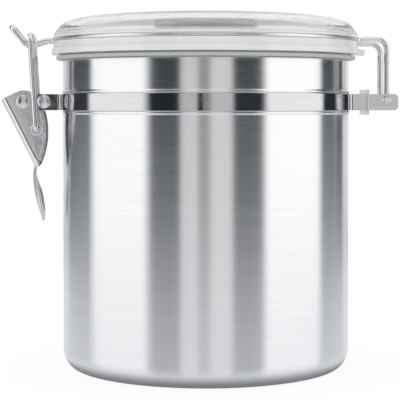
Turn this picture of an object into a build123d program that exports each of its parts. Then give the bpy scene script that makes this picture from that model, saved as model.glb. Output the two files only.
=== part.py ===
from build123d import *
from math import acos, atan2, cos, degrees, hypot, radians, sin, sqrt
import os

os.makedirs("parts", exist_ok=True)

# Coffee canister with a clamp lid and a one-way valve.
# Millimetres, +Z up, base at Z = 0, can axis on Z. The latch is at -X and the hinge at +X.

# Driving dimensions: the can
body_r = 63.5
body_wall = 0.6
rim_z = 136.0
base_corner_r = 7.3
overrun = 5.0
cut_reach = 30.0

hem_width = 1.6
hem_height = 3.2
hem_round = 0.5

bead_section_r = 1.0
bead_rise = 0.4
lower_bead_drop = 23.1
upper_bead_drop = 14.2

base_ring_r = 44.0
base_ring_section_r = 4.0
base_ring_depth = 0.9

# Driving dimensions: the strap
band_thick = 0.8
band_width = 7.1
band_fit = 0.05
hinge_ear_y = 11.7
latch_ear_y = 4.2
ear_bend_r = 2.2
ear_corner_r = 2.0

# Driving dimensions: wires and rivets
wire_r = 1.2
rivet_shank_r = 1.9
rivet_head_r = 3.0
rivet_head_height = 0.95
rivet_fit = 0.06
spacer_wall = 0.9
spacer_fit = 0.05

# Places of the latch and the hinge: how far out from the can's wall, how far above the strap's middle
pivot_reach = 17.5
pivot_rise = 0.25
rivet_reach = 8.3
hinge_reach = 16.0
hinge_rise = 0.95
latch_ear_end = 4.2
hinge_ear_end = 5.0

keeper_reach = 7.6
keeper_height = 11.2
keeper_side = 1.3
keeper_thick = 0.8
keeper_fit = 0.1
keeper_corner_r = 0.8

# Driving dimensions: the lever
lever_half_width = 6.0
lever_thick = 0.8
lever_bend_r = 1.6
wing_top_r = 5.0
wing_notch_sweep = 85.0
spine_top = (10.0, 1.0)
spine_foot = (5.5, 29.6)
wing_belly = (10.15, 13.1)
wing_toe = (7.1, 27.9)
bail_hole_at = (6.0, 12.4)
bail_hole_fit = 0.3

neck_half_width = 2.6
tongue_half_width = 6.0
tongue_length = 24.3
tongue_lean = 7.7
tongue_dish_r = 9.5
tongue_neck_drop = 3.6
tongue_widest_drop = 13.3
tongue_root = 1.6

# Driving dimensions: the bail
bail_top_reach = 10.3
bail_top_rise = 2.6
bail_foot_half = 9.1
bail_top_half = 7.5
bail_top_bend = 3.0
bail_foot_bend = 1.6
bail_end_y = 4.4

# Driving dimensions: the lid
gasket_thick = 2.2
lid_overhang = 5.1
lip_height = 2.6
flange_step = 0.8
shoulder_step = 0.2
groove_rise = 8.4
groove_sink = 0.5
groove_fit = 0.1
shoulder_rise = 2.4
dome_height = 10.2
lid_wall = 2.3
plug_gap = 2.4
plug_wall = 2.4
plug_depth = 2.0
lip_round = 0.6
lug_reach = 3.0
lug_half_width = 4.0
gasket_inset = 2.0
gasket_fit = 0.1
gasket_groove = 0.5
gasket_round = 0.4

# The dome's outline as shares of its radius and of its height, from the shoulder to the crown
end_share = 0.5
dome_shares = ((0.985, 0.20), (0.93, 0.55), (0.80, 0.76), (0.45, 0.92))

# Driving dimensions: the lid wire
nose_half = 4.6
nose_bend = 3.2
nose_crook_reach = 11.9
nose_crook_drop = 2.3
nose_tip_reach = 18.8
nose_tip_rise = 6.2
nose_run = 1.6
nose_crook_bend = 2.4
nose_loop_share = 0.98
leg_half = 10.2
leg_bend = 6.0
leg_end_bend = 1.5
wire_end_reach = 0.3
hinge_hole_fit = 0.7

# Driving dimensions: the valve
well_r = 21.0
well_depth = 2.0
well_floor = 2.0
valve_seal_thick = 0.8
valve_flange_thick = 2.2
valve_flange_round = 0.8
valve_neck_inset = 6.2
valve_fit = 0.1
valve_seal_gap = 1.2
valve_seal_inset = 2.0
valve_spigot_step = 1.3
valve_spigot_height = 0.6
valve_spigot_wall = 1.9
seat_thick = 1.2
seat_drop = 2.6
vent_r = 1.2
vent_inset = 3.3
vent_count = 8
disc_gap = 3.1
disc_thick = 1.0
disc_lift = 0.8
guide_r = 1.5
guide_fit = 0.06
guide_rise = 3.0
stop_fit = 0.05
stop_wall = 1.6
filter_thick = 0.5
filter_ring_wall = 1.8
filter_ring_thick = 0.7
cap_fit = 0.3
cap_thick = 1.2
cap_skirt_wall = 3.05
cap_round = 0.5
slot_count = 12
slot_inner_r = 6.0
slot_inset = 0.9
slot_width = 1.4

# Values that follow from the driving dimensions
lower_bead_z = rim_z - lower_bead_drop
upper_bead_z = rim_z - upper_bead_drop
band_mid_r = body_r + band_fit + band_thick / 2
band_low_z = (lower_bead_z + upper_bead_z - band_width) / 2
band_mid_z = band_low_z + band_width / 2
pivot_x = -(body_r + pivot_reach)
pivot_z = band_mid_z + pivot_rise
rivet_x = -(body_r + rivet_reach)
hinge_x = body_r + hinge_reach
hinge_z = band_mid_z + hinge_rise
keeper_x = body_r + keeper_reach
latch_ear_mid = latch_ear_y + band_thick / 2
latch_ear_outer = latch_ear_y + band_thick
hinge_ear_mid = hinge_ear_y + band_thick / 2
hinge_ear_outer = hinge_ear_y + band_thick
lip_r = body_r + lid_overhang
flange_r = lip_r - flange_step
dome_r = flange_r - shoulder_step
wire_ring_r = flange_r - groove_sink
plug_outer_r = body_r - hem_width - plug_gap
gasket_outer_r = lip_r - gasket_inset
lip_low_z = rim_z + gasket_thick
lip_top_z = lip_low_z + lip_height
groove_z = rim_z + groove_rise
dome_base_z = groove_z + shoulder_rise
dome_top_z = dome_base_z + dome_height
nose_crook_x = -(wire_ring_r + nose_crook_reach)
nose_crook_z = groove_z - nose_crook_drop
nose_tip_x = -(wire_ring_r + nose_tip_reach)
nose_tip_z = groove_z + nose_tip_rise
bail_top_x = -(wire_ring_r + bail_top_reach)
bail_top_z = groove_z + bail_top_rise
bail_foot_x = pivot_x + bail_hole_at[0]
bail_foot_z = pivot_z - bail_hole_at[1]
well_floor_z = dome_top_z - well_depth
well_under_z = well_floor_z - well_floor
flange_top_z = well_under_z - valve_seal_thick
flange_low_z = flange_top_z - valve_flange_thick
valve_flange_r = well_r + well_floor
valve_neck_r = well_r - valve_neck_inset
valve_seal_inner_r = valve_neck_r + valve_seal_gap
valve_seal_outer_r = valve_flange_r - valve_seal_inset
valve_spigot_r = valve_neck_r - valve_spigot_step
chamber_r = valve_spigot_r - valve_spigot_wall
disc_r = chamber_r - disc_gap
vent_circle_r = disc_r - vent_inset
cap_skirt_r = valve_spigot_r + stop_fit + cap_skirt_wall
slot_outer_r = valve_spigot_r - slot_inset
seat_top_z = well_floor_z - seat_drop
seat_low_z = seat_top_z - seat_thick
cap_low_z = well_floor_z + valve_spigot_height + stop_fit


def flare(ring_r, leg_y, bend_r):
    """Points where a ring's line turns out of the ring into a leg along X, for +X and +Y."""
    centre_x = sqrt((ring_r + bend_r) ** 2 - (leg_y + bend_r) ** 2)
    share = ring_r / (ring_r + bend_r)
    on_ring = (centre_x * share, (leg_y + bend_r) * share)
    on_leg = (centre_x, leg_y)
    away = (on_ring[0] + on_leg[0] - 2 * centre_x, on_ring[1] + on_leg[1] - 2 * (leg_y + bend_r))
    reach = bend_r / hypot(*away)
    middle = (centre_x + away[0] * reach, leg_y + bend_r + away[1] * reach)
    return on_ring, middle, on_leg


def on_side(point, x_side, y_side, *height):
    """The same point in the quadrant with these signs, with a height when one is given."""
    return (point[0] * x_side, point[1] * y_side, *height)


def polar(centre, radius, angle):
    """A point at an angle in degrees round a centre."""
    return (centre[0] + radius * cos(radians(angle)), centre[1] + radius * sin(radians(angle)))


def save(part, label):
    part.label = label
    export_step(part, f"parts/{label}.step")


# Can body: an outer and an inner turned form, with the beads on both
with BuildPart() as can_body:
    with BuildSketch(Plane.XZ):
        with BuildLine():
            Polyline((0, 0), (body_r, 0), (body_r, rim_z), (0, rim_z), close=True)
        make_face()
    revolve(axis=Axis.Z)
    base_edge = can_body.edges().filter_by(GeomType.CIRCLE).sort_by(Axis.Z)[0]
    fillet(base_edge, radius=base_corner_r)
    rim_edge = can_body.edges().filter_by(GeomType.CIRCLE).sort_by(Axis.Z)[-1]
    fillet(rim_edge, radius=hem_round)
    with BuildSketch(Plane.XZ):
        for bead_z in (lower_bead_z, upper_bead_z):
            with Locations((body_r + bead_rise - bead_section_r, bead_z)):
                Circle(bead_section_r)
    revolve(axis=Axis.Z)
    with BuildSketch(Plane.XZ):
        with Locations((base_ring_r, base_ring_depth - base_ring_section_r)):
            Circle(base_ring_section_r)
    revolve(axis=Axis.Z, mode=Mode.SUBTRACT)

with BuildPart() as can_hollow:
    with BuildSketch(Plane.XZ):
        with BuildLine():
            Polyline(
                (0, body_wall),
                (body_r - body_wall, body_wall),
                (body_r - body_wall, rim_z - hem_height),
                (body_r - hem_width, rim_z - hem_height),
                (body_r - hem_width, rim_z + overrun),
                (0, rim_z + overrun),
                close=True,
            )
        make_face()
    revolve(axis=Axis.Z)
    floor_edge = can_hollow.edges().filter_by(GeomType.CIRCLE).sort_by(Axis.Z)[0]
    fillet(floor_edge, radius=base_corner_r - body_wall)
    with BuildSketch(Plane.XZ):
        for bead_z in (lower_bead_z, upper_bead_z):
            with Locations((body_r + bead_rise - bead_section_r, bead_z)):
                Circle(bead_section_r - body_wall)
    revolve(axis=Axis.Z)
    with BuildSketch(Plane.XZ):
        with Locations((base_ring_r, base_ring_depth - base_ring_section_r)):
            Circle(base_ring_section_r + body_wall)
    revolve(axis=Axis.Z, mode=Mode.SUBTRACT)

with BuildPart(mode=Mode.PRIVATE) as can_finished:
    add(can_body.part - can_hollow.part)
    hem_lip = can_finished.edges().filter_by(GeomType.CIRCLE).group_by(Axis.Z)[-1].sort_by(SortBy.RADIUS)[0]
    fillet(hem_lip, radius=hem_round)
save(can_finished.part, "can_body")

# Strap halves: a strip round half of the can, with an ear bent out at each end
latch_turn = flare(band_mid_r, latch_ear_mid, ear_bend_r)
hinge_turn = flare(band_mid_r, hinge_ear_mid, ear_bend_r)

with BuildPart() as band_front:
    with BuildSketch(Plane.XY.offset(band_low_z)):
        with BuildLine():
            Line((pivot_x - latch_ear_end, -latch_ear_mid), on_side(latch_turn[2], -1, -1))
            ThreePointArc(*[on_side(point, -1, -1) for point in reversed(latch_turn)])
            ThreePointArc(on_side(latch_turn[0], -1, -1), (0, -band_mid_r), on_side(hinge_turn[0], 1, -1))
            ThreePointArc(*[on_side(point, 1, -1) for point in hinge_turn])
            Line(on_side(hinge_turn[2], 1, -1), (hinge_x + hinge_ear_end, -hinge_ear_mid))
        trace(line_width=band_thick)
    extrude(amount=band_width)
    ear_ends = band_front.edges().filter_by(Axis.Y)
    fillet(ear_ends.group_by(Axis.X)[0] + ear_ends.group_by(Axis.X)[-1], radius=ear_corner_r)
    with BuildSketch(Plane.XZ):
        with Locations((pivot_x, pivot_z), (rivet_x, pivot_z)):
            Circle(rivet_shank_r + rivet_fit)
        with Locations((hinge_x, hinge_z)):
            Circle(wire_r + hinge_hole_fit)
    extrude(amount=cut_reach, both=True, mode=Mode.SUBTRACT)
save(band_front.part, "band_front")

with BuildPart() as band_rear:
    mirror(band_front.part, about=Plane.XZ)
save(band_rear.part, "band_rear")

# Keeper plate: a slotted plate that both hinge ears pass through
with BuildPart() as keeper_plate:
    with BuildSketch(Plane.YZ.offset(keeper_x)):
        with Locations((0, band_mid_z)):
            RectangleRounded(
                2 * (hinge_ear_outer + keeper_fit + keeper_side), keeper_height, keeper_corner_r
            )
            for side in (-1, 1):
                with Locations((side * hinge_ear_mid, 0)):
                    Rectangle(
                        band_thick + 2 * keeper_fit, band_width + 2 * keeper_fit, mode=Mode.SUBTRACT
                    )
    extrude(amount=keeper_thick / 2, both=True)
save(keeper_plate.part, "keeper_plate")


def make_rivet(x, half_grip, label):
    """A rivet across the latch with a low domed head at each end."""
    crown_y = half_grip + rivet_head_height
    cap_r = (rivet_head_r ** 2 + rivet_head_height ** 2) / (2 * rivet_head_height)
    cap_side = rivet_head_r / 2
    dome_at = (cap_side, crown_y - cap_r + sqrt(cap_r ** 2 - cap_side ** 2))
    with BuildPart() as rivet:
        with BuildSketch(Plane(origin=(x, 0, pivot_z), x_dir=(1, 0, 0), z_dir=(0, 0, 1))):
            with BuildLine():
                ThreePointArc((0, -crown_y), (dome_at[0], -dome_at[1]), (rivet_head_r, -half_grip))
                Polyline(
                    (rivet_head_r, -half_grip),
                    (rivet_shank_r, -half_grip),
                    (rivet_shank_r, half_grip),
                    (rivet_head_r, half_grip),
                )
                ThreePointArc((rivet_head_r, half_grip), dome_at, (0, crown_y))
                Line((0, crown_y), (0, -crown_y))
            make_face()
        revolve(axis=Axis((x, 0, pivot_z), (0, 1, 0)))
    save(rivet.part, label)


def make_spacer(x, label):
    """A tube on a rivet, between the two latch ears."""
    with BuildPart() as spacer:
        with BuildSketch(Plane.XZ):
            with Locations((x, pivot_z)):
                Circle(rivet_shank_r + spacer_fit + spacer_wall)
                Circle(rivet_shank_r + spacer_fit, mode=Mode.SUBTRACT)
        extrude(amount=latch_ear_y, both=True)
    save(spacer.part, label)


make_rivet(rivet_x, latch_ear_outer, "band_rivet")
make_rivet(pivot_x, lever_half_width + rivet_fit, "pivot_rivet")
make_spacer(rivet_x, "band_spacer")
make_spacer(pivot_x, "pivot_spacer")

# Lever: a folded channel of two wings and a spine, then a dished tongue
pivot_at = (pivot_x, pivot_z)
spine_start = (pivot_x - spine_top[0], pivot_z + spine_top[1])
spine_end = (pivot_x + spine_foot[0], pivot_z - spine_foot[1])
toe_at = (pivot_x + wing_toe[0], pivot_z - wing_toe[1])
belly_at = (pivot_x + wing_belly[0], pivot_z - wing_belly[1])
start_reach = hypot(*spine_top)
start_angle = degrees(atan2(spine_top[1], -spine_top[0]))
crown_angle = start_angle - degrees(acos(wing_top_r / start_reach))
crown_start = polar(pivot_at, wing_top_r, crown_angle)
crown_middle = polar(pivot_at, wing_top_r, crown_angle / 2)
crown_end = polar(pivot_at, wing_top_r, 0)
notch_r = rivet_x - pivot_x - wing_top_r
notch_middle = polar((rivet_x, pivot_z), notch_r, 180 + wing_notch_sweep / 2)
notch_end = polar((rivet_x, pivot_z), notch_r, 180 + wing_notch_sweep)
spine_run = (spine_end[0] - spine_start[0], spine_end[1] - spine_start[1])
spine_length = hypot(*spine_run)
spine_way = (spine_run[0] / spine_length, spine_run[1] / spine_length)
spine_inward = (-spine_way[1], spine_way[0])

with BuildPart() as lever:
    with BuildSketch(Plane.XZ):
        with BuildLine():
            Line(spine_end, spine_start)
            Line(spine_start, crown_start)
            ThreePointArc(crown_start, crown_middle, crown_end)
            ThreePointArc(crown_end, notch_middle, notch_end)
            ThreePointArc(notch_end, belly_at, toe_at)
            Line(toe_at, spine_end)
        make_face()
    extrude(amount=lever_half_width, both=True)
    inward_axis = Axis((spine_start[0], 0, spine_start[1]), (spine_inward[0], 0, spine_inward[1]))
    spine_face = lever.faces().filter_by(GeomType.PLANE).sort_by(inward_axis)[0]
    long_edges = spine_face.edges().filter_by(lambda edge: abs(edge.length - spine_length) < lever_thick)
    fillet(long_edges, radius=lever_bend_r)
    hollow_plane = Plane(
        origin=(spine_start[0], 0, spine_start[1]),
        x_dir=(spine_way[0], 0, spine_way[1]),
        z_dir=(spine_inward[0], 0, spine_inward[1]),
    )
    with BuildSketch(hollow_plane.offset(lever_thick)):
        with Locations((spine_length / 2, 0)):
            Rectangle(2 * spine_length, 2 * (lever_half_width - lever_thick))
    extrude(amount=cut_reach, mode=Mode.SUBTRACT)
    with BuildSketch(Plane.XZ):
        with Locations(pivot_at):
            Circle(rivet_shank_r + rivet_fit)
        with Locations((bail_foot_x, bail_foot_z)):
            Circle(wire_r + bail_hole_fit)
    extrude(amount=cut_reach, both=True, mode=Mode.SUBTRACT)

tongue_down = (sin(radians(tongue_lean)), 0, -cos(radians(tongue_lean)))
tongue_out = (-cos(radians(tongue_lean)), 0, -sin(radians(tongue_lean)))
tongue_start = (
    spine_end[0] - spine_way[0] * tongue_root + spine_inward[0] * lever_thick / 2,
    0,
    spine_end[1] - spine_way[1] * tongue_root + spine_inward[1] * lever_thick / 2,
)
tongue_end_drop = tongue_length + tongue_root

with BuildPart() as tongue_outline:
    with BuildSketch(Plane(origin=tongue_start, x_dir=(0, 1, 0), z_dir=tongue_out)):
        with BuildLine():
            Polyline(
                (-neck_half_width, tongue_neck_drop),
                (-neck_half_width, 0),
                (neck_half_width, 0),
                (neck_half_width, tongue_neck_drop),
            )
            for side in (-1, 1):
                Spline(
                    (side * neck_half_width, tongue_neck_drop),
                    (side * tongue_half_width, tongue_widest_drop),
                    (0, tongue_end_drop),
                    tangents=((0, 1), (-side, 0)),
                    tangent_scalars=(end_share, end_share),
                )
        make_face()
    extrude(amount=tongue_dish_r, both=True)

with BuildPart() as tongue_trough:
    with BuildSketch(Plane(origin=tongue_start, x_dir=(0, 1, 0), z_dir=tongue_down)):
        with Locations((0, tongue_dish_r)):
            Circle(tongue_dish_r + lever_thick / 2)
            Circle(tongue_dish_r - lever_thick / 2, mode=Mode.SUBTRACT)
    extrude(amount=tongue_end_drop + overrun)

with BuildPart(mode=Mode.PRIVATE) as lever_finished:
    add(lever.part + (tongue_trough.part & tongue_outline.part))
save(lever_finished.part, "lever")


def sweep_wire(path, label):
    """A round wire along a path."""
    with BuildPart() as wire:
        with BuildSketch(Plane(origin=path @ 0, z_dir=path % 0)):
            Circle(wire_r)
        sweep(path=path)
    save(wire.part, label)


# Bail: an open wire link with its two ends turned in through the lever's wings
with BuildLine() as bail_path:
    FilletPolyline(
        (bail_foot_x, -bail_end_y, bail_foot_z),
        (bail_foot_x, -bail_foot_half, bail_foot_z),
        (bail_top_x, -bail_top_half, bail_top_z),
        (bail_top_x, bail_top_half, bail_top_z),
        (bail_foot_x, bail_foot_half, bail_foot_z),
        (bail_foot_x, bail_end_y, bail_foot_z),
        radius=[bail_foot_bend, bail_top_bend, bail_top_bend, bail_foot_bend],
    )
sweep_wire(bail_path.wire(), "bail")

# Lid wire: nose, ring and hinge legs in one wire with its ends turned out into the hinge ears
nose_turn = flare(wire_ring_r, nose_half, nose_bend)
leg_turn = flare(wire_ring_r, leg_half, nose_bend)
nose_exit_x = nose_turn[2][0] + nose_run
nose_loop_r = nose_half * nose_loop_share
with BuildLine() as lid_wire_path:
    for side in (-1, 1):
        FilletPolyline(
            (hinge_x, side * (hinge_ear_outer + wire_end_reach), hinge_z),
            (hinge_x, side * leg_half, hinge_z),
            (hinge_x, side * leg_half, groove_z),
            on_side(leg_turn[2], 1, side, groove_z),
            radius=[leg_end_bend, leg_bend],
        )
        ThreePointArc(*[on_side(point, 1, side, groove_z) for point in leg_turn])
        ThreePointArc(
            on_side(leg_turn[0], 1, side, groove_z),
            (0, side * wire_ring_r, groove_z),
            on_side(nose_turn[0], -1, side, groove_z),
        )
        ThreePointArc(*[on_side(point, -1, side, groove_z) for point in nose_turn])
    FilletPolyline(
        on_side(nose_turn[2], -1, -1, groove_z),
        (-nose_exit_x, -nose_half, groove_z),
        (nose_crook_x, -nose_half, nose_crook_z),
        (nose_tip_x, -nose_half, nose_tip_z),
        (nose_tip_x, nose_half, nose_tip_z),
        (nose_crook_x, nose_half, nose_crook_z),
        (-nose_exit_x, nose_half, groove_z),
        on_side(nose_turn[2], -1, 1, groove_z),
        radius=[nose_bend, nose_crook_bend, nose_loop_r, nose_loop_r, nose_crook_bend, nose_bend],
    )
sweep_wire(lid_wire_path.wire(), "lid_wire")

# Lid shell: a clear dome with a wire groove, a flange, a lip, a plug and a well for the valve


def draw_dome(radius, low_z, top_z):
    """The dome's outline, upright at the shoulder and level at the crown."""
    height = top_z - low_z
    shoulder = [(radius * r_share, low_z + height * z_share) for r_share, z_share in dome_shares]
    Spline(
        (radius, low_z),
        *shoulder,
        (0, top_z),
        tangents=((0, 1), (-1, 0)),
        tangent_scalars=(end_share, end_share),
    )


with BuildPart() as lid_shell:
    with BuildSketch(Plane.XZ):
        with BuildLine():
            draw_dome(dome_r, dome_base_z, dome_top_z)
            Polyline(
                (0, dome_top_z),
                (0, rim_z - plug_depth),
                (plug_outer_r, rim_z - plug_depth),
                (plug_outer_r, lip_low_z),
                (lip_r, lip_low_z),
                (lip_r, lip_top_z),
                (flange_r, lip_top_z),
                (flange_r, groove_z),
                (dome_r, groove_z),
                (dome_r, dome_base_z),
            )
        make_face()
    revolve(axis=Axis.Z)
    lip_edges = lid_shell.edges().filter_by(GeomType.CIRCLE).group_by(SortBy.RADIUS)[-1]
    fillet(lip_edges, radius=lip_round)
    with BuildSketch(Plane.XZ):
        with BuildLine():
            draw_dome(dome_r - lid_wall, dome_base_z, dome_top_z - lid_wall)
            Polyline(
                (0, dome_top_z - lid_wall),
                (0, rim_z - plug_depth - overrun),
                (plug_outer_r - plug_wall, rim_z - plug_depth - overrun),
                (plug_outer_r - plug_wall, lip_top_z),
                (dome_r - lid_wall, dome_base_z),
            )
        make_face()
    revolve(axis=Axis.Z, mode=Mode.SUBTRACT)
    with BuildSketch(Plane.XZ):
        with Locations((wire_ring_r, groove_z)):
            Circle(wire_r + groove_fit)
    revolve(axis=Axis.Z, mode=Mode.SUBTRACT)
    with BuildSketch(Plane.XY.offset(well_under_z)):
        Circle(well_r + well_floor)
    extrude(amount=well_depth + well_floor - lid_wall / 2)
    with BuildSketch(Plane.XY.offset(well_floor_z)):
        Circle(well_r)
    extrude(amount=well_depth + overrun, mode=Mode.SUBTRACT)
    with BuildSketch(Plane.XY.offset(well_under_z - overrun)):
        Circle(valve_neck_r + valve_fit)
    extrude(amount=well_floor + 2 * overrun, mode=Mode.SUBTRACT)
    with BuildSketch(Plane.XY.offset(lip_low_z)):
        with Locations((flange_r, 0)):
            RectangleRounded(2 * lug_reach, 2 * lug_half_width, lip_round)
    extrude(amount=lip_height)
save(lid_shell.part, "lid_shell")

# Gasket: a soft ring round the plug, pressed between the lip and the rim
with BuildPart() as lid_gasket:
    with BuildSketch(Plane.XY.offset(rim_z)):
        Circle(gasket_outer_r)
        Circle(plug_outer_r + gasket_fit, mode=Mode.SUBTRACT)
    extrude(amount=gasket_thick)
    fillet(lid_gasket.edges().group_by(Axis.Z)[0].sort_by(SortBy.RADIUS)[-1], radius=gasket_round)
    with BuildSketch(Plane.XZ):
        with Locations((gasket_outer_r, rim_z + gasket_thick / 2)):
            Circle(gasket_groove)
    revolve(axis=Axis.Z, mode=Mode.SUBTRACT)
save(lid_gasket.part, "lid_gasket")

# Valve body: a flange under the lid, a neck through it, a vented seat and a guide pin
with BuildPart() as valve_body:
    with BuildSketch(Plane.XY.offset(flange_low_z)):
        Circle(valve_flange_r)
    extrude(amount=valve_flange_thick)
    fillet(valve_body.edges().group_by(Axis.Z)[0], radius=valve_flange_round)
    with BuildSketch(Plane.XY.offset(flange_top_z)):
        Circle(valve_neck_r)
    extrude(amount=well_floor_z - flange_top_z)
    with BuildSketch(Plane.XY.offset(well_floor_z)):
        Circle(valve_spigot_r)
    extrude(amount=valve_spigot_height)
    with BuildSketch(Plane.XY.offset(seat_top_z)):
        Circle(chamber_r)
    extrude(amount=seat_drop + overrun, mode=Mode.SUBTRACT)
    with BuildSketch(Plane.XY.offset(seat_low_z)):
        Circle(chamber_r)
    extrude(amount=flange_low_z - seat_low_z - overrun, mode=Mode.SUBTRACT)
    with BuildSketch(Plane.XY.offset(seat_top_z)):
        Circle(guide_r)
    extrude(amount=guide_rise)
    with BuildSketch(Plane.XY.offset(seat_top_z)):
        with PolarLocations(vent_circle_r, vent_count):
            Circle(vent_r)
    extrude(amount=-seat_thick, mode=Mode.SUBTRACT)
save(valve_body.part, "valve_body")

# Flat ring between the valve body and the lid
with BuildPart() as valve_seal:
    with BuildSketch(Plane.XY.offset(flange_top_z)):
        Circle(valve_seal_outer_r)
        Circle(valve_seal_inner_r, mode=Mode.SUBTRACT)
    extrude(amount=valve_seal_thick)
save(valve_seal.part, "valve_seal")

# One-way disc: lies on the seat and lifts along the guide pin
with BuildPart() as valve_disc:
    with BuildSketch(Plane.XY.offset(seat_top_z)):
        Circle(disc_r)
        Circle(guide_r + guide_fit, mode=Mode.SUBTRACT)
    extrude(amount=disc_thick)
save(valve_disc.part, "valve_disc")

# Filter under the seat and the snap ring that holds it
with BuildPart() as valve_filter:
    with BuildSketch(Plane.XY.offset(seat_low_z - filter_thick)):
        Circle(chamber_r)
    extrude(amount=filter_thick)
save(valve_filter.part, "valve_filter")

with BuildPart() as filter_ring:
    with BuildSketch(Plane.XY.offset(seat_low_z - filter_thick - filter_ring_thick)):
        Circle(chamber_r)
        Circle(chamber_r - filter_ring_wall, mode=Mode.SUBTRACT)
    extrude(amount=filter_ring_thick)
save(filter_ring.part, "filter_ring")

# Valve cap: a slotted cover on the spigot, with a stop that ends the disc's lift
with BuildPart() as valve_cap:
    with BuildSketch(Plane.XY.offset(cap_low_z)):
        Circle(well_r - cap_fit)
    extrude(amount=cap_thick)
    fillet(valve_cap.edges().group_by(Axis.Z)[-1], radius=cap_round)
    with BuildSketch(Plane.XY.offset(well_floor_z)):
        Circle(cap_skirt_r)
        Circle(valve_spigot_r + stop_fit, mode=Mode.SUBTRACT)
    extrude(amount=cap_low_z - well_floor_z)
    with BuildSketch(Plane.XY.offset(cap_low_z)):
        Circle(guide_r + guide_fit + stop_wall)
        Circle(guide_r + guide_fit, mode=Mode.SUBTRACT)
    extrude(amount=seat_top_z + disc_thick + disc_lift + stop_fit - cap_low_z)
    with BuildSketch(Plane.XY.offset(cap_low_z)):
        with PolarLocations((slot_inner_r + slot_outer_r) / 2, slot_count):
            SlotOverall(slot_outer_r - slot_inner_r, slot_width)
    extrude(amount=cap_thick, mode=Mode.SUBTRACT)
save(valve_cap.part, "valve_cap")
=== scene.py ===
from math import atan2, cos, hypot, pi, radians, sin, sqrt, tan

import bpy
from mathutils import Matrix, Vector


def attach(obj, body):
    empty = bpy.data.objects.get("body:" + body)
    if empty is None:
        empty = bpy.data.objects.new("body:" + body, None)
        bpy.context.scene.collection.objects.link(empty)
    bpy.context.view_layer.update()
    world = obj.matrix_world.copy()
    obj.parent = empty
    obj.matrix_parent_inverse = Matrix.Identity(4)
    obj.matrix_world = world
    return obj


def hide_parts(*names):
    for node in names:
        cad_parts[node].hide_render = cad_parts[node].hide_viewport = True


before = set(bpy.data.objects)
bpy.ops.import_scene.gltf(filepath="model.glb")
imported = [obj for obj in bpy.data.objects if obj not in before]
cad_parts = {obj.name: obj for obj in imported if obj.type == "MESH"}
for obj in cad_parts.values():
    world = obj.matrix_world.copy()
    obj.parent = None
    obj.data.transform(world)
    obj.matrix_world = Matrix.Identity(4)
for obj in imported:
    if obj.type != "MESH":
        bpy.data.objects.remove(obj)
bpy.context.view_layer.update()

MM = 0.001
FULL_TURN = 2 * pi

# ---- Camera ----
camera_reach = 0.651
camera_height = 0.1161
camera_turn = radians(-1.0)
camera_dip = radians(1.2)
lens = 130.9
sensor = 36.0
shift_right = -0.0145
shift_up = -0.2375

bpy.ops.object.camera_add(
    location=(camera_reach * sin(camera_turn), -camera_reach * cos(camera_turn), camera_height),
    rotation=(pi / 2 - camera_dip, 0, camera_turn),
)
camera = bpy.context.object
camera.data.lens = lens
camera.data.sensor_width = sensor
camera.data.shift_x = shift_right
camera.data.shift_y = shift_up + tan(camera_dip) * lens / sensor
bpy.context.scene.camera = camera
bpy.context.scene.view_settings.view_transform = "Standard"


# ---- Points and lines ----
def place(*point):
    """A point given in millimetres."""
    return Vector(point) * MM


def rounded(corners, steps=6):
    """A line through corners, each given as (point, radius), with the corners rounded."""
    nearly_straight = radians(89)
    most_cut = 0.49
    line = []
    for index, (corner, radius) in enumerate(corners):
        point = Vector(corner)
        if radius == 0 or index in (0, len(corners) - 1):
            line.append(point)
            continue
        before = Vector(corners[index - 1][0]) - point
        after = Vector(corners[index + 1][0]) - point
        half = before.angle(after) / 2
        if half > nearly_straight:
            line.append(point)
            continue
        cut = min(radius * MM / tan(half), most_cut * min(before.length, after.length))
        bend = cut * tan(half)
        before.normalize()
        after.normalize()
        centre = point + (before + after).normalized() * bend / sin(half)
        start = (point + before * cut - centre).normalized()
        end = (point + after * cut - centre).normalized()
        line += [centre + start.slerp(end, step / steps) * bend for step in range(steps + 1)]
    return line


def arc(start, middle, end, steps=12):
    """Points on the arc through three points in the XZ plane, in millimetres."""
    (ax, az), (bx, bz), (cx, cz) = start, middle, end
    a, b, c = ax**2 + az**2, bx**2 + bz**2, cx**2 + cz**2
    four_areas = 2 * (ax * (bz - cz) + bx * (cz - az) + cx * (az - bz))
    centre_x = (a * (bz - cz) + b * (cz - az) + c * (az - bz)) / four_areas
    centre_z = (a * (cx - bx) + b * (ax - cx) + c * (bx - ax)) / four_areas
    radius = hypot(ax - centre_x, az - centre_z)
    turns = [atan2(z - centre_z, x - centre_x) for x, z in (start, middle, end)]
    sweep = (turns[2] - turns[0]) % FULL_TURN
    if (turns[1] - turns[0]) % FULL_TURN > sweep:
        sweep -= FULL_TURN
    angles = [turns[0] + sweep * step / steps for step in range(steps + 1)]
    return [(centre_x + radius * cos(angle), centre_z + radius * sin(angle)) for angle in angles]


def outline(*corners):
    """A turned piece's outline: corners of (radius, height, rounding) in millimetres."""
    return rounded([(place(radius, 0, height), rounding) for radius, height, rounding in corners])


# ---- Pieces ----
def deselect():
    """Leaves edit mode and selects nothing."""
    if bpy.context.object and bpy.context.object.mode != "OBJECT":
        bpy.ops.object.mode_set(mode="OBJECT")
    bpy.ops.object.select_all(action="DESELECT")


def select_only(piece):
    """Leaves edit mode and makes one piece the selected and active one."""
    deselect()
    piece.select_set(True)
    bpy.context.view_layer.objects.active = piece


def apply_place(piece):
    """Takes a piece's place, turn and scale into its mesh."""
    select_only(piece)
    bpy.ops.object.transform_apply(location=True, rotation=True, scale=True)


def smooth(piece, sharp_above=35):
    """Shades a piece smoothly, apart from edges that turn by more than some degrees."""
    select_only(piece)
    bpy.ops.object.shade_smooth_by_angle(angle=radians(sharp_above))


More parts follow.
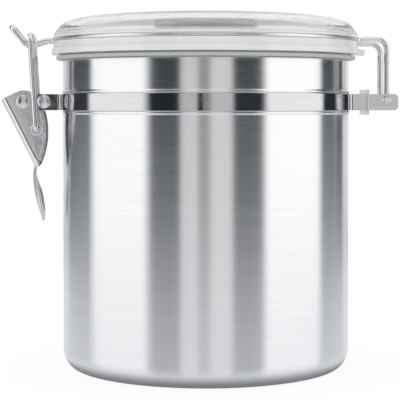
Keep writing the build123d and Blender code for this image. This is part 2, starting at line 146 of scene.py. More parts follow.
def weld(distance):
    """Joins vertices of the piece in edit mode that lie within a distance of each other."""
    bpy.ops.mesh.select_all(action="SELECT")
    bpy.ops.mesh.remove_doubles(threshold=distance)


def face_outwards():
    """Turns all faces of the piece in edit mode the same way, outwards."""
    bpy.ops.mesh.select_all(action="SELECT")
    bpy.ops.mesh.normals_make_consistent(inside=False)


def start_line(points, name):
    """A new piece that begins as one vertex, drawn out into a line of edges. It is left in edit mode."""
    deselect()
    bpy.ops.mesh.primitive_plane_add(size=MM, location=points[0])
    piece = bpy.context.object
    piece.name = name
    bpy.ops.object.mode_set(mode="EDIT")
    bpy.ops.mesh.select_all(action="SELECT")
    bpy.ops.mesh.merge(type="CENTER")
    for here, there in zip(points, points[1:]):
        bpy.ops.mesh.extrude_vertices_move(TRANSFORM_OT_translate={"value": tuple(there - here)})
    bpy.ops.mesh.select_all(action="SELECT")
    return piece


def turn(name, section, steps=192, loop=False):
    """A turned piece: a section of (radius, height) spun round the can's axis."""
    points = section + section[:1] if loop else section
    piece = start_line(points, name)
    weld(1e-6)
    bpy.ops.mesh.select_all(action="SELECT")
    bpy.ops.mesh.spin(steps=steps, angle=FULL_TURN, center=(0, 0, 0), axis=(0, 0, 1))
    weld(2e-6)
    face_outwards()
    apply_place(piece)
    smooth(piece)
    return piece


def bent_wire(name, path, thickness):
    """A round wire along a path, with closed ends."""
    deselect()
    bpy.ops.curve.primitive_nurbs_path_add()
    piece = bpy.context.object
    piece.name = name
    piece.data.splines.clear()
    line = piece.data.splines.new("POLY")
    line.points.add(len(path) - 1)
    for spot, point in zip(line.points, path):
        spot.co = (*point, 1)
    piece.data.dimensions = "3D"
    piece.data.bevel_depth = thickness / 2
    piece.data.bevel_resolution = 6
    piece.data.use_fill_caps = True
    bpy.ops.object.convert(target="MESH")
    piece = bpy.context.object
    apply_place(piece)
    smooth(piece, 50)
    return piece


def ease_edges(piece, width, segments):
    """Rounds the sharp edges of the active piece."""
    edge = piece.modifiers.new("eased_edges", "BEVEL")
    edge.width = width
    edge.segments = segments
    edge.limit_method = "ANGLE"
    edge.angle_limit = radians(50)
    bpy.ops.object.modifier_apply(modifier=edge.name)


def stiffen(piece, thickness, edge_round):
    """Gives a sheet its thickness and eases its edges."""
    select_only(piece)
    wall = piece.modifiers.new("sheet", "SOLIDIFY")
    wall.thickness = thickness
    wall.offset = 0
    wall.use_even_offset = True
    bpy.ops.object.modifier_apply(modifier=wall.name)
    ease_edges(piece, edge_round, segments=2)


def dress(piece, body, slot, finish, *nodes):
    """Sets a piece's finish and body, and hides the nodes that it stands for. The slot is not used."""
    piece.data.materials.clear()
    piece.data.materials.append(finish)
    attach(piece, body)
    if nodes:
        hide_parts(*nodes)


# ---- Nodes of a finish ----
def tree_and_shader(finish):
    """A finish's node tree and the shader in it."""
    tree = finish.node_tree
    return tree, tree.nodes["Principled BSDF"]


def new_finish(name, colour, metal, rough):
    """A finish of one colour, with its node tree and shader."""
    finish = bpy.data.materials.new(name)
    finish.use_nodes = True
    tree, shader = tree_and_shader(finish)
    shader.inputs["Base Color"].default_value = (*colour, 1)
    shader.inputs["Metallic"].default_value = metal
    shader.inputs["Roughness"].default_value = rough
    return finish, tree, shader


def coordinates(tree, kind="Object"):
    """X, Y and Z of the shaded point in metres. In a world, Generated gives a direction instead."""
    spot = tree.nodes.new("ShaderNodeTexCoord")
    parts = tree.nodes.new("ShaderNodeSeparateXYZ")
    tree.links.new(spot.outputs[kind], parts.inputs["Vector"])
    return [parts.outputs[axis] for axis in "XYZ"]


def join(tree, kind, *values):
    """The result of one kind of sum, such as ADD, on node values and numbers."""
    node = tree.nodes.new("ShaderNodeMath")
    node.operation = kind
    for socket, value in zip(node.inputs, values):
        if isinstance(value, (int, float)):
            socket.default_value = value
        else:
            tree.links.new(value, socket)
    return node.outputs["Value"]


def from_axis(tree, x, y):
    """How far a point at X and Y is from the can's axis."""
    squares = [join(tree, "POWER", value, 2.0) for value in (x, y)]
    return join(tree, "SQRT", join(tree, "ADD", *squares))


def grain(tree, stretch, detail=2.0):
    """Noise on the piece's own coordinates, at so many marks a metre along X, Y and Z."""
    spot = tree.nodes.new("ShaderNodeTexCoord")
    spread = tree.nodes.new("ShaderNodeMapping")
    spread.inputs["Scale"].default_value = stretch
    noise = tree.nodes.new("ShaderNodeTexNoise")
    noise.inputs["Scale"].default_value = 1
    noise.inputs["Detail"].default_value = detail
    tree.links.new(spot.outputs["Object"], spread.inputs["Vector"])
    tree.links.new(spread.outputs["Vector"], noise.inputs["Vector"])
    return noise.outputs["Fac"]


def specks(tree, marks, detail=2.0):
    """Noise with the same number of marks a metre every way."""
    return grain(tree, (marks, marks, marks), detail)


def between(tree, value, low, high, start=0.3, end=0.7):
    """Runs from low to high while a value runs from start to end. Noise mostly stays in 0.3 to 0.7."""
    ranged = tree.nodes.new("ShaderNodeMapRange")
    ranged.inputs["From Min"].default_value = start
    ranged.inputs["From Max"].default_value = end
    ranged.inputs["To Min"].default_value = low
    ranged.inputs["To Max"].default_value = high
    tree.links.new(value, ranged.inputs["Value"])
    return ranged.outputs["Result"]


def colour_mix(tree, share, first, second):
    """Runs from a first colour to a second by a share. Each is three numbers or a node's colour."""
    mix = tree.nodes.new("ShaderNodeMix")
    mix.data_type = "RGBA"
    for socket, colour in ((mix.inputs["A"], first), (mix.inputs["B"], second)):
        if isinstance(colour, tuple):
            socket.default_value = (*colour, 1)
        else:
            tree.links.new(colour, socket)
    tree.links.new(share, mix.inputs["Factor"])
    return mix.outputs["Result"]


def shader_mix(tree, share, first, second):
    """Runs from a first shader to a second by a share."""
    mix = tree.nodes.new("ShaderNodeMixShader")
    tree.links.new(share, mix.inputs["Fac"])
    tree.links.new(first, mix.inputs[1])
    tree.links.new(second, mix.inputs[2])
    return mix.outputs["Shader"]


def tint(tree, shader, share, dark, light):
    """Lets a share run the base colour from dark to light."""
    tree.links.new(colour_mix(tree, share, dark, light), shader.inputs["Base Color"])


def stain(tree, shader, share, colour):
    """Lays a colour over the base colour that is there, by a share."""
    base = shader.inputs["Base Color"].links[0].from_socket
    tree.links.new(colour_mix(tree, share, base, colour), shader.inputs["Base Color"])


def roughen(tree, shader, noise, low, high):
    """Lets noise run the roughness from low to high."""
    tree.links.new(between(tree, noise, low, high), shader.inputs["Roughness"])


def emboss(tree, shader, noise, depth, strength):
    """Lets noise raise the surface by a depth in millimetres."""
    bump = tree.nodes.new("ShaderNodeBump")
    bump.inputs["Distance"].default_value = depth * MM
    bump.inputs["Strength"].default_value = strength
    tree.links.new(noise, bump.inputs["Height"])
    tree.links.new(bump.outputs["Normal"], shader.inputs["Normal"])


# ---- Finishes ----
def brushed_can_steel():
    """Steel brushed round the can: fine level lines, with the shine drawn out upright."""
    finish, tree, shader = new_finish("brushed_can_steel", (0.85, 0.85, 0.853), 1.0, 0.22)
    shader.inputs["Anisotropic"].default_value = 0.95
    shader.inputs["Anisotropic Rotation"].default_value = 0.25
    around = tree.nodes.new("ShaderNodeTangent")
    around.direction_type = "RADIAL"
    around.axis = "Z"
    tree.links.new(around.outputs["Tangent"], shader.inputs["Tangent"])
    lines = grain(tree, (25, 25, 4200), 3.0)
    tint(tree, shader, between(tree, lines, 0, 1), (0.825, 0.828, 0.835), (0.875, 0.875, 0.878))
    roughen(tree, shader, grain(tree, (20, 20, 900)), 0.21, 0.235)
    emboss(tree, shader, lines, 0.01, 0.08)
    return finish


def sheet_steel(name, level, rough, stretch):
    """Rolled sheet with faint lines and small changes of shine."""
    finish, tree, shader = new_finish(name, level, 1.0, rough)
    lines = grain(tree, stretch, 3.0)
    darker = tuple(part * 0.93 for part in level)
    tint(tree, shader, between(tree, lines, 0, 1), darker, level)
    roughen(tree, shader, specks(tree, 400), rough * 0.8, rough * 1.3)
    emboss(tree, shader, lines, 0.01, 0.2)
    return finish


def lever_steel_with_painted_crease_shade():
    """The lever's sheet, with a thin dark line of painted shade where each wing is pressed in beside the
    fold.
    """
    finish = sheet_steel("lever_steel", (0.84, 0.84, 0.85), 0.2, (900, 900, 120))
    tree, shader = tree_and_shader(finish)
    x, y, z = coordinates(tree)
    # Depth behind the fold's outer line. Near the foot of the fold the line of painted shade turns away
    # from it
    fold_x, fold_z = -0.0905, 0.11875
    inward_x, inward_z = 0.8935, 0.449
    foot_z, foot_turn = 0.093, 0.35
    across = join(tree, "MULTIPLY", join(tree, "SUBTRACT", x, fold_x), inward_x)
    up = join(tree, "MULTIPLY", join(tree, "SUBTRACT", z, fold_z), inward_z)
    below = join(tree, "MAXIMUM", join(tree, "SUBTRACT", foot_z, z), 0.0)
    turned = join(tree, "MULTIPLY", below, foot_turn)
    depth = join(tree, "SUBTRACT", join(tree, "ADD", across, up), turned)
    crease_depth, crease_half_width = 0.0017, 0.00022
    wing_inside = 0.0052
    # A thin near-black stripe in the base colour paints the shade of the crease on each wing
    painted_crease_shade = join(tree, "COMPARE", depth, crease_depth, crease_half_width)
    wing = join(tree, "GREATER_THAN", join(tree, "ABSOLUTE", y), wing_inside)
    stain(tree, shader, join(tree, "MULTIPLY", painted_crease_shade, wing), (0.13, 0.13, 0.14))
    return finish


def bright_steel(name, rough):
    """Drawn wire and rivets: bright, with faint drawing marks."""
    finish, tree, shader = new_finish(name, (0.8, 0.8, 0.81), 1.0, rough)
    marks = specks(tree, 500, 3.0)
    tint(tree, shader, between(tree, marks, 0, 1), (0.79, 0.79, 0.8), (0.88, 0.88, 0.89))
    roughen(tree, shader, marks, rough * 0.8, rough * 1.4)
    emboss(tree, shader, marks, 0.01, 0.1)
    return finish


def lid_wire_steel():
    """Bright wire, with its shine softened where it is seated in the lid's groove."""
    finish = bright_steel("wire_steel", 0.13)
    tree, shader = tree_and_shader(finish)
    x, y, _ = coordinates(tree)
    seat_r, seat_half_width = 0.0666, 0.0014
    seated = join(tree, "COMPARE", from_axis(tree, x, y), seat_r, seat_half_width)
    softer = join(tree, "MULTIPLY", seated, 0.2)
    rough = shader.inputs["Roughness"].links[0].from_socket
    tree.links.new(join(tree, "ADD", rough, softer), shader.inputs["Roughness"])
    return finish


def clear_lid_plastic():
    """The lid's plastic: milky in the flange and the lip, and clear in the dome above them, with painted
    shade in the groove behind the wire.
    """
    finish, tree, shader = new_finish("clear_lid_plastic", (0.97, 0.985, 0.985), 0.0, 0.02)
    shader.inputs["IOR"].default_value = 1.49
    shader.inputs["Transmission Weight"].default_value = 1.0
    haze = specks(tree, 60, 4.0)
    roughen(tree, shader, haze, 0.0, 0.05)
    x, y, z = coordinates(tree)
    milky_below, clear_above = 0.1462, 0.148
    clear = between(tree, z, 0.25, 0.93, milky_below, clear_above)
    tree.links.new(clear, shader.inputs["Transmission Weight"])
    # Painted shade: the base colour turns near black in the groove behind the wire, where little light
    # gets in
    groove_middle_r, groove_half_depth = 0.0659, 0.0016
    groove_middle_z, groove_half_height = 0.14465, 0.0011
    ring = join(tree, "COMPARE", from_axis(tree, x, y), groove_middle_r, groove_half_depth)
    level = join(tree, "COMPARE", z, groove_middle_z, groove_half_height)
    painted_groove_shade = join(tree, "MULTIPLY", ring, level)
    # The dark base colour here is painted shade, not a dark plastic
    tint(tree, shader, painted_groove_shade, (0.99, 0.995, 0.995), (0.12, 0.125, 0.13))
    emboss(tree, shader, haze, 0.03, 0.1)
    return finish


def seal_silicone():
    """Translucent silicone, a little cloudy."""
    finish, tree, shader = new_finish("seal_silicone", (0.86, 0.88, 0.88), 0.0, 0.4)
    shader.inputs["IOR"].default_value = 1.41
    shader.inputs["Transmission Weight"].default_value = 0.45
    cloud = specks(tree, 300, 3.0)
    roughen(tree, shader, cloud, 0.32, 0.5)
    emboss(tree, shader, cloud, 0.03, 0.2)
    return finish


def valve_plastic():
    """Dark moulded plastic with fine pores."""
    finish, tree, shader = new_finish("valve_plastic", (0.14, 0.14, 0.145), 0.0, 0.38)
    pores = specks(tree, 2500, 3.0)
    patches = between(tree, specks(tree, 90), 0, 1)
    tint(tree, shader, patches, (0.09, 0.09, 0.095), (0.13, 0.13, 0.135))
    roughen(tree, shader, pores, 0.32, 0.46)
    emboss(tree, shader, pores, 0.03, 0.35)
    return finish


def valve_housing_plastic():
    """The valve's dark plastic, paler above the middle of its flange."""
    finish = valve_plastic()
    finish.name = "valve_housing_plastic"
    tree, shader = tree_and_shader(finish)
    _, _, z = coordinates(tree)
    dark_below, pale_above = 0.1513, 0.1517
    stain(tree, shader, between(tree, z, 0, 1, dark_below, pale_above), (0.6, 0.61, 0.61))
    return finish


def filter_felt():
    """Pale felt with fibres that run mostly one way."""
    finish, tree, shader = new_finish("filter_felt", (0.86, 0.85, 0.81), 0.0, 0.95)
    fibres = grain(tree, (5200, 1900, 3000), 5.0)
    tint(tree, shader, between(tree, fibres, 0, 1), (0.74, 0.72, 0.67), (0.92, 0.91, 0.88))
    emboss(tree, shader, fibres, 0.12, 0.8)
    return finish


can_steel = brushed_can_steel()
strap_steel = sheet_steel("strap_steel", (0.68, 0.68, 0.69), 0.09, (60, 60, 1800))
keeper_steel = sheet_steel("keeper_steel", (0.84, 0.84, 0.85), 0.2, (500, 60, 1500))
lever_steel = lever_steel_with_painted_crease_shade()
tongue_steel = sheet_steel("tongue_steel", (0.86, 0.86, 0.87), 0.3, (900, 900, 120))
rivet_steel = bright_steel("rivet_steel", 0.27)
wire_steel = lid_wire_steel()
clear_plastic = clear_lid_plastic()
silicone = seal_silicone()
dark_plastic = valve_plastic()
housing_plastic = valve_housing_plastic()
felt = filter_felt()


# ---- Can ----
can_r, can_inside_r = 63.5, 62.9
corner_width, corner_height = 6.2, 8.8
base_corner = [
    (
        can_r - corner_width * (1 - sin(radians(degrees))),
        corner_height * (1 - cos(radians(degrees))),
        0,
    )
    for degrees in range(0, 91, 6)
]
can_outline = outline(
    (0, 0, 0),
    (41.2, 0, 2.0),
    (44.0, 1.0, 3.0),
    (46.8, 0, 2.0),
    *base_corner,
    (can_r, 112.05, 0.5),
    (63.92, 112.9, 0.8),
    (can_r, 113.75, 0.5),
    (can_r, 120.95, 0.5),
    (63.92, 121.8, 0.8),
    (can_r, 122.65, 0.5),
    (can_r, 136.0, 0.6),
    (61.9, 136.0, 0.6),
    (61.9, 132.8, 0.3),
    (can_inside_r, 132.5, 0.2),
    (can_inside_r, 0.6, 6.7),
    (46.8, 0.6, 2.0),
    (44.0, 1.6, 3.0),
    (41.2, 0.6, 2.0),
    (0, 0.6, 0),
)
can = turn("can", can_outline, steps=256)
dress(can, "root", "brushed_steel", can_steel, "can_body")


# ---- Lid ----
def through(knots, steps=6):
    """A smooth line through knots of (radius, height), upright at the first and level at the last."""
    line = []
    last = len(knots) - 1
    for index in range(last):
        here, there = Vector(knots[index]), Vector(knots[index + 1])
        before = Vector(knots[max(index - 1, 0)])
        after = Vector(knots[min(index + 2, last)])
        leave = Vector((0, 1)) if index == 0 else (there - before).normalized()
        arrive = Vector((-1, 0)) if index + 1 == last else (after - here).normalized()
        third = (there - here).length / 3
        a, b, c, d = here, here + leave * third, there - arrive * third, there
        for step in range(steps):
            t = step / steps
            rest = 1 - t
            line.append(a * rest**3 + b * 3 * t * rest**2 + c * 3 * t**2 * rest + d * t**3)
    line.append(Vector(knots[last]))
    return line


# Knots of the dome, as shares of its radius and its rise
dome_shares = ((1, 0), (0.985, 0.2), (0.93, 0.55), (0.8, 0.76), (0.45, 0.92), (0, 1))
dome_r, dome_inside_r = 67.6, 65.3
dome_foot_z, dome_rise, dome_inside_rise = 146.8, 10.2, 7.9
outer_dome = through([(dome_r * r, dome_foot_z + dome_rise * z) for r, z in dome_shares])
inner_dome = through([(dome_inside_r * r, dome_foot_z + dome_inside_rise * z) for r, z in dome_shares])
groove = arc((67.6, 145.5), (65.25, 144.65), (67.8, 143.8), 10)
# The valve sits in a well in the dome's top, with a hole in its floor
hole_r, well_r, well_wall_r = 14.9, 21.0, 23.0
lid_outline = (
    outline((hole_r, 155.0, 0), (well_r, 155.0, 0.4), (well_r, 156.5, 0))
    + [place(r, 0, z) for r, z in reversed(outer_dome) if r > well_r]
    + [place(r, 0, z) for r, z in groove]
    + outline(
        (67.8, 140.8, 0.3),
        (68.58, 140.8, 0.6),
        (68.58, 138.2, 0.6),
        (59.5, 138.2, 0.3),
        (59.5, 134.0, 0.6),
        (57.1, 134.0, 0.6),
        (57.1, 140.8, 1.5),
        (dome_inside_r, dome_foot_z, 0),
    )[:-1]
    + [place(r, 0, z) for r, z in inner_dome if r > well_wall_r]
    + outline((well_wall_r, 154.2, 0), (well_wall_r, 153.0, 0.3), (hole_r, 153.0, 0))
)
lid_dome = turn("lid_dome", lid_outline, steps=224, loop=True)
dress(lid_dome, "lid", "clear_plastic", clear_plastic, "lid_shell")

deselect()
lug_size = (3.2, 8.0, 2.6)
bpy.ops.mesh.primitive_cube_add(size=MM, location=place(69.2, 0, 139.5), scale=lug_size)
lid_lug = bpy.context.object
lid_lug.name = "lid_lug"
apply_place(lid_lug)
ease_edges(lid_lug, 0.6 * MM, segments=4)
smooth(lid_lug)
dress(lid_lug, "lid", "clear_plastic", clear_plastic)

gasket_outline = outline(
    (59.6, 136.0, 0.2),
    (66.2, 136.0, 0.4),
    (66.5, 136.7, 0.2),
    (66.6, 137.5, 0.2),
    (64.6, 137.7, 0.1),
    (64.6, 138.2, 0.1),
    (59.6, 138.2, 0.1),
)
lid_gasket = turn("lid_seal", gasket_outline, loop=True)
dress(lid_gasket, "lid", "silicone", silicone, "lid_gasket")


# ---- Wires ----
def flare(ring, leg, bend, steps=8):
    """Points where the wire leaves the ring for a leg along X, in the quadrant of +X and +Y."""
    middle_y = leg + bend
    middle_x = sqrt((ring + bend) ** 2 - middle_y**2)
    start = atan2(-middle_y, -middle_x)
    points = []
    for step in range(steps + 1):
        angle = start + (-pi / 2 - start) * step / steps
        points.append((middle_x + bend * cos(angle), middle_y + bend * sin(angle)))
    return points


wire_thickness = 2.4 * MM
groove_z = 144.65
ring_r = 66.6
flare_bend = 3.2
nose_half = 4.6
leg_half = 10.2
hinge_x, hinge_z = 79.5, 118.3
leg_flare = flare(ring_r, leg_half, flare_bend)
nose_flare = flare(ring_r, nose_half, flare_bend)


def half_lid_wire(side):
    """One half of the lid's wire, from its end in the hinge ear to the nose."""
    end_y = 12.8
    leg_z = 145.0 if side < 0 else 143.8
    flare_x = leg_flare[-1][0]
    leg_corners = [
        (place(hinge_x, side * end_y, hinge_z), 0),
        (place(hinge_x, side * leg_half, hinge_z), 1.5),
        (place(hinge_x, side * leg_half, leg_z), 4.4),
        (place(flare_x + 2.5, side * leg_half, leg_z), 1.5),
        (place(flare_x, side * leg_half, groove_z), 0),
    ]
    bend = [place(x, side * y, groove_z) for x, y in reversed(leg_flare[:-1])]
    first = atan2(leg_flare[0][1], leg_flare[0][0])
    final = pi - atan2(nose_flare[0][1], nose_flare[0][0])
    steps = 72
    angles = [first + (final - first) * step / steps for step in range(1, steps)]
    ring = [place(ring_r * cos(angle), side * ring_r * sin(angle), groove_z) for angle in angles]
    out = [place(-x, side * y, groove_z) for x, y in nose_flare]
    nose_x = -nose_flare[-1][0]
    nose_corners = [
        (place(nose_x, side * nose_half, groove_z), 0),
        (place(nose_x - 1.6, side * nose_half, groove_z), 3.2),
        (place(-79.2, side * nose_half, 142.1), 2.4),
        (place(-86.1, side * nose_half, 150.6), 4.5),
        (place(-86.1, 0, 150.6), 0),
    ]
    return rounded(leg_corners, 8) + bend + ring + out + rounded(nose_corners, 8)[1:]


near_half = half_lid_wire(-1)
far_half = half_lid_wire(1)
lid_wire_path = near_half[:-1] + list(reversed(far_half))
lid_wire = bent_wire("lid_wire_bent", lid_wire_path, wire_thickness)
dress(lid_wire, "lid", "wire_steel", wire_steel, "lid_wire")

foot_x, foot_z = -75.0, 105.2
bail_corners = []
for side in (-1, 1):
    half_bail = [
        (place(foot_x, side * 4.4, foot_z), 0),
        (place(foot_x, side * 9.1, foot_z), 1.6),
        (place(-77.6, side * 7.5, 147.0), 3.0),
    ]
    bail_corners += half_bail if side < 0 else reversed(half_bail)
bail = bent_wire("bail_bent", rounded(bail_corners, 8), wire_thickness)
dress(bail, "bail", "wire_steel", wire_steel, "bail")


# ---- Rivets ----
def rivet(name, x, grip):
    """A rivet through the latch. The grip is half its length between its two domed heads."""
    axis_z = 117.6
    head_r, shank_r = 3.0, 1.9
    dome_height, edge_height = 0.95, 0.12
    crown = grip + dome_height
    head = arc((0.0, -crown), (1.55, 0.26 - crown), (head_r, -grip - edge_height), 8)
    half = [place(r, 0, z) for r, z in head] + [place(head_r, 0, -grip), place(shank_r, 0, -grip)]
    line = half + [Vector((point.x, 0, -point.z)) for point in reversed(half)]
    piece = turn(name, line, steps=48)
    piece.rotation_euler = (pi / 2, 0, 0)
    piece.location = place(x, 0, axis_z)
    apply_place(piece)
    dress(piece, "root", "rivet_steel", rivet_steel, name.replace("_domed", ""))


rivet("band_rivet_domed", -71.8, 5.0)
rivet("pivot_rivet_domed", -81.0, 6.06)


# ---- Lever ----
lever_sheet = 0.8 * MM


def lever_channel():
    """The lever's folded channel: two wings and the spine that joins them."""
    crown = arc((-83.04, 122.16), (-78.28, 121.80), (-76.0, 117.6), 10)
    notch = arc((-76.0, 117.6), (-74.90, 114.76), (-72.17, 113.42), 8)
    belly = arc((-72.17, 113.42), (-70.85, 104.5), (-73.9, 89.7), 14)
    spine_top, spine_foot = (-90.5, 118.75), (-75.2, 88.3)
    side = [spine_top] + crown + notch[1:] + belly[1:] + [spine_foot]
    wing_y = -5.55
    piece = start_line([place(x, wing_y, z) for x, z in side], "lever_channel")
    bpy.ops.mesh.edge_face_add()
    bpy.ops.mesh.select_all(action="SELECT")
    bpy.ops.mesh.duplicate_move(TRANSFORM_OT_translate={"value": (0, -2 * wing_y * MM, 0)})
    bpy.ops.mesh.select_all(action="DESELECT")
    bpy.ops.object.mode_set(mode="OBJECT")

    # The spine is a face between the corners at the top and the foot of both wings
    ends = [place(x, 0, z) for x, z in (spine_top, spine_foot)]
    for vertex in piece.data.vertices:
        spot = piece.matrix_world @ vertex.co
        vertex.select = any(hypot(spot.x - end.x, spot.z - end.z) < 1e-5 for end in ends)
    bpy.ops.object.mode_set(mode="EDIT")
    bpy.ops.mesh.edge_face_add()
    bpy.ops.mesh.select_all(action="DESELECT")
    bpy.ops.object.mode_set(mode="OBJECT")

    # The folds are the two long edges that stay in one wing's plane
    shortest_fold = 30 * MM
    for edge in piece.data.edges:
        spots = [piece.matrix_world @ piece.data.vertices[index].co for index in edge.vertices]
        in_wing = abs(spots[0].y - spots[1].y) < 1e-6
        edge.select = (spots[0] - spots[1]).length > shortest_fold and in_wing
    bpy.ops.object.mode_set(mode="EDIT")
    bpy.ops.mesh.select_mode(type="EDGE")
    bpy.ops.mesh.bevel(offset=2.0 * MM, segments=6, profile=0.36, affect="EDGES")
    bpy.ops.mesh.select_mode(type="VERT")
    face_outwards()
    apply_place(piece)
    stiffen(piece, lever_sheet, 0.15 * MM)
    smooth(piece, 50)
    even = piece.modifiers.new("flat_wings", "WEIGHTED_NORMAL")
    even.keep_sharp = True
    even.weight = 90
    bpy.ops.object.modifier_apply(modifier=even.name)
    return piece


channel = lever_channel()
dress(channel, "lever", "polished_steel", lever_steel, "lever")


def wing_bead(name, side):
    """The fine bead that is pressed into a wing all along its edge."""
    bead_thickness = 0.5 * MM
    wing_y = side * 5.88
    belly = arc((-73.2, 112.2), (-71.95, 104.5), (-74.55, 91.6), 16)
    line = [(place(x, wing_y, z), 0) for x, z in belly]
    line += [(place(-74.75, wing_y, 91.3), 0.4), (place(-88.3, wing_y, 118.0), 0)]
    piece = bent_wire(name, rounded(line, 4), bead_thickness)
    dress(piece, "lever", "polished_steel", lever_steel)


wing_bead("wing_bead_near", -1)
wing_bead("wing_bead_far", 1)


def tongue_half_width(drop, length):
    """Half the width of the thumb tongue at a drop below its root, in millimetres."""
    neck_drop, widest_drop = 3.0, 13.3
    neck, widest = 2.6, 6.0
    if drop < neck_drop:
        return neck
    if drop < widest_drop:
        share = (drop - neck_drop) / (widest_drop - neck_drop)
        return neck + (widest - neck) * sin(share * pi / 2) ** 1.3
    share = (drop - widest_drop) / (length - widest_drop)
    return widest * sqrt(max(0.0, 1 - share**2.1))


def thumb_tongue():
    """The lever's leaf-shaped thumb tongue, dished across its width and bowed along its length."""
    lean = radians(7.7)
    down = Vector((sin(lean), 0, -cos(lean)))
    inward = Vector((cos(lean), 0, sin(lean)))
    root = place(-75.87, 0, 89.6)
    length, dish_r, bow = 25.4, 9.5, 1.9
    deselect()
    bpy.ops.mesh.primitive_grid_add(x_subdivisions=12, y_subdivisions=40, size=1)
    piece = bpy.context.object
    piece.name = "thumb_tongue"
    for vertex in piece.data.vertices:
        share = max(0.0, vertex.co.y + 0.5)
        # Rows lie closer together towards the tip, where the outline turns fastest
        drop = length * (1 - (1 - share) ** 1.6)
        across = vertex.co.x * 2 * tongue_half_width(drop, length)
        dish = dish_r - sqrt(dish_r**2 - across**2)
        belly = bow * sin(pi * (drop / length) ** 0.75)
        sideways = Vector((0, across * MM, 0))
        vertex.co = root + down * drop * MM + sideways + inward * (dish - belly) * MM
    bpy.ops.object.mode_set(mode="EDIT")
    weld(1e-5)
    face_outwards()
    apply_place(piece)
    stiffen(piece, lever_sheet, 0.12 * MM)
    smooth(piece, 40)
    return piece


tongue = thumb_tongue()
dress(tongue, "lever", "polished_steel", tongue_steel)


def hole_rim(name, side):
    """The raised rim that is pressed round the bail's hole in a wing."""
    line = outline((1.55, 0.0, 0), (1.55, 0.45, 0.2), (2.3, 0.45, 0.25), (2.75, 0.0, 0))
    piece = turn(name, line, steps=40)
    piece.rotation_euler = (-side * pi / 2, 0, 0)
    piece.location = place(foot_x, side * 5.95, foot_z)
    apply_place(piece)
    dress(piece, "lever", "polished_steel", lever_steel)


hole_rim("hole_rim_near", -1)
hole_rim("hole_rim_far", 1)

# ---- Finishes of the nodes that stay ----
kept = {
    "band_front": strap_steel,
    "band_rear": strap_steel,
    "keeper_plate": keeper_steel,
    "band_spacer": rivet_steel,
    "pivot_spacer": rivet_steel,
    "valve_body": housing_plastic,
    "valve_cap": dark_plastic,
    "filter_ring": dark_plastic,
    "valve_seal": silicone,
    "valve_disc": silicone,
    "valve_filter": felt,
}
for node, finish in kept.items():
    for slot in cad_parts[node].material_slots:
        slot.material = finish


# ---- Floor ----
def white_floor():
    """White board: it keeps a soft shadow near the can and runs out to plain white."""
    finish = bpy.data.materials.new("white_board")
    finish.use_nodes = True
    tree = finish.node_tree
    tree.nodes.clear()
    out = tree.nodes.new("ShaderNodeOutputMaterial")
    matt = tree.nodes.new("ShaderNodeBsdfDiffuse")
    glow = tree.nodes.new("ShaderNodeEmission")
    rays = tree.nodes.new("ShaderNodeLightPath")
    x, y, _ = coordinates(tree)
    away = from_axis(tree, x, y)
    tone = colour_mix(tree, specks(tree, 900), (0.86, 0.86, 0.86), (0.9, 0.9, 0.9))
    tree.links.new(tone, matt.inputs["Color"])

    # The share of each kind of ray that sees plain white in place of the lit board
    fade = between(tree, away, 0.93, 1.0, 0.07, 0.1)
    seen = join(tree, "MULTIPLY", rays.outputs["Is Camera Ray"], fade)
    shine = join(tree, "MULTIPLY", rays.outputs["Is Glossy Ray"], 0.9)
    clear = join(tree, "MULTIPLY", rays.outputs["Is Transmission Ray"], 0.9)
    share = join(tree, "MAXIMUM", join(tree, "MAXIMUM", seen, shine), clear)

    # In the can's shine the board is a little grey and cool, and its glow is darkened right beside the
    # can by a painted shadow
    painted_contact_shadow = between(tree, away, -0.52, 0.0, 0.0615, 0.069)
    grey_with_painted_shade = between(tree, away, -0.26, -0.12, 0.067, 0.079)
    # These ramps dim the board's glow in reflections only: a painted shadow close to the can, and a
    # plain grey level further out
    dim = join(tree, "MULTIPLY", rays.outputs["Is Glossy Ray"], join(tree, "ADD", painted_contact_shadow, grey_with_painted_shade))
    cool = colour_mix(tree, rays.outputs["Is Glossy Ray"], (1, 1, 1), (1.0, 1.02, 1.065))
    tree.links.new(join(tree, "ADD", dim, 1.0), glow.inputs["Strength"])
    tree.links.new(cool, glow.inputs["Color"])
    board = shader_mix(tree, share, matt.outputs["BSDF"], glow.outputs["Emission"])

    # There it also thins out, so that the panels still show low on the can
    thin = tree.nodes.new("ShaderNodeBsdfTransparent")
    thinned = between(tree, away, 0.0, 0.32, 0.066, 0.08)
    let_by = join(tree, "MULTIPLY", rays.outputs["Is Glossy Ray"], thinned)
    surface = shader_mix(tree, let_by, board, thin.outputs["BSDF"])
    tree.links.new(surface, out.inputs["Surface"])
    return finish


deselect()
bpy.ops.mesh.primitive_circle_add(
    vertices=128, radius=0.42, fill_type="NGON", location=(0, 0, -0.1 * MM)
)
floor = bpy.context.object
floor.name = "floor"
apply_place(floor)
floor.data.materials.append(white_floor())

# ---- Studio ----
# Panels that stand round the can, each from one bearing to the next in degrees, 0 towards the
# camera and 90 to the right: (start, end, softness at its start, level)
panels = (
    (-180, -143, 0, 0.7),
    (-143, -104.5, 8, 0.04),
    (-104.5, -47.5, 5, 1.16),
    (-47.5, -21, 7, 0.015),
    (-21, -6.5, 3, 0.66),
    (-6.5, 2.5, 3, 0.28),
    (2.5, 20.2, 4, 0.7),
    (20.2, 46, 3, 0.03),
    (46, 103, 6, 1.2),
    (103, 122, 4, 0.02),
    (122, 127, 2, 0.4),
    (127, 141, 3, 0.02),
    (141, 180, 5, 0.75),
)


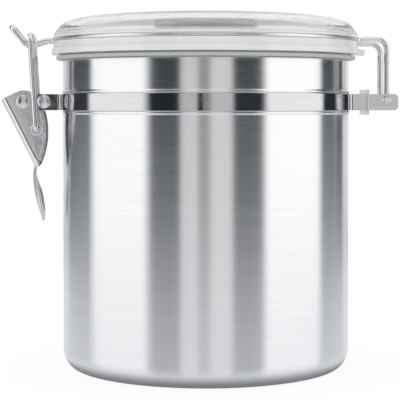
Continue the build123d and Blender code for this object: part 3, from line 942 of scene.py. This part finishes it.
def panel_ramp(tree, bearing):
    """The panels' colour at a bearing. Darker ones are a little blue."""
    ramp = tree.nodes.new("ShaderNodeValToRGB")
    ramp.color_ramp.interpolation = "LINEAR"
    stops = ramp.color_ramp.elements
    stops.remove(stops[1])
    first_level = panels[0][3]
    stops[0].position = 0
    stops[0].color = (first_level, first_level, first_level, 1)
    for (_, _, _, level_before), (start, _, soft, level) in zip(panels, panels[1:]):
        for degrees, tone in ((start - soft / 2, level_before), (start + soft / 2, level)):
            stop = stops.new((degrees + 180) / 360)
            blue = 0.015 * max(0.0, 1 - tone)
            stop.color = (tone, tone + blue / 2, tone + blue, 1)
    share = join(tree, "ADD", join(tree, "DIVIDE", bearing, FULL_TURN), 0.5)
    tree.links.new(share, ramp.inputs["Fac"])
    return ramp.outputs["Color"]


def studio_world():
    """What stands round the can: panels, low board, ceiling and card. Only its shine shows them."""
    world = bpy.data.worlds.new("studio")
    bpy.context.scene.world = world
    world.use_nodes = True
    tree = world.node_tree
    tree.nodes.clear()
    out = tree.nodes.new("ShaderNodeOutputWorld")
    light = tree.nodes.new("ShaderNodeBackground")
    rays = tree.nodes.new("ShaderNodeLightPath")
    x, y, z = coordinates(tree, "Generated")
    bearing = join(tree, "ARCTAN2", x, join(tree, "MULTIPLY", y, -1.0))
    near_black = (0.02, 0.02, 0.024)
    round_about = panel_ramp(tree, bearing)

    # The narrow light strip on the right reaches down to the camera's level
    strip = join(tree, "COMPARE", bearing, radians(124.5), radians(4.0))
    below = join(tree, "LESS_THAN", z, -0.004)
    under_strip = join(tree, "MULTIPLY", strip, below)
    round_about = colour_mix(tree, under_strip, round_about, near_black)

    # Low down at the sides and behind, grey board takes over from the panels
    wide = join(tree, "GREATER_THAN", join(tree, "ABSOLUTE", bearing), radians(100))
    low = join(tree, "SUBTRACT", 1.0, between(tree, z, 0, 1, -0.125, -0.055))
    board = join(tree, "MULTIPLY", wide, low)
    round_about = colour_mix(tree, board, round_about, (0.47, 0.49, 0.53))

    # High up, a pale ceiling takes over from the panels
    high = between(tree, z, 0, 1, 0.65, 0.85)
    round_about = colour_mix(tree, high, round_about, (0.95, 0.95, 0.96))

    # A small dark card stands straight across from the latch's ears
    across = join(tree, "COMPARE", bearing, radians(-5.3), radians(2.0))
    level = join(tree, "COMPARE", z, 0.002, 0.035)
    card = join(tree, "MULTIPLY", across, level)
    round_about = colour_mix(tree, card, round_about, near_black)

    # Rays that have gone through the clear lid see plain white, like all that aren't shine
    outside = join(tree, "LESS_THAN", rays.outputs["Transmission Depth"], 0.5)
    shine = join(tree, "MULTIPLY", rays.outputs["Is Glossy Ray"], outside)
    tree.links.new(colour_mix(tree, shine, (1, 1, 1), round_about), light.inputs["Color"])
    tree.links.new(light.outputs["Background"], out.inputs["Surface"])


studio_world()
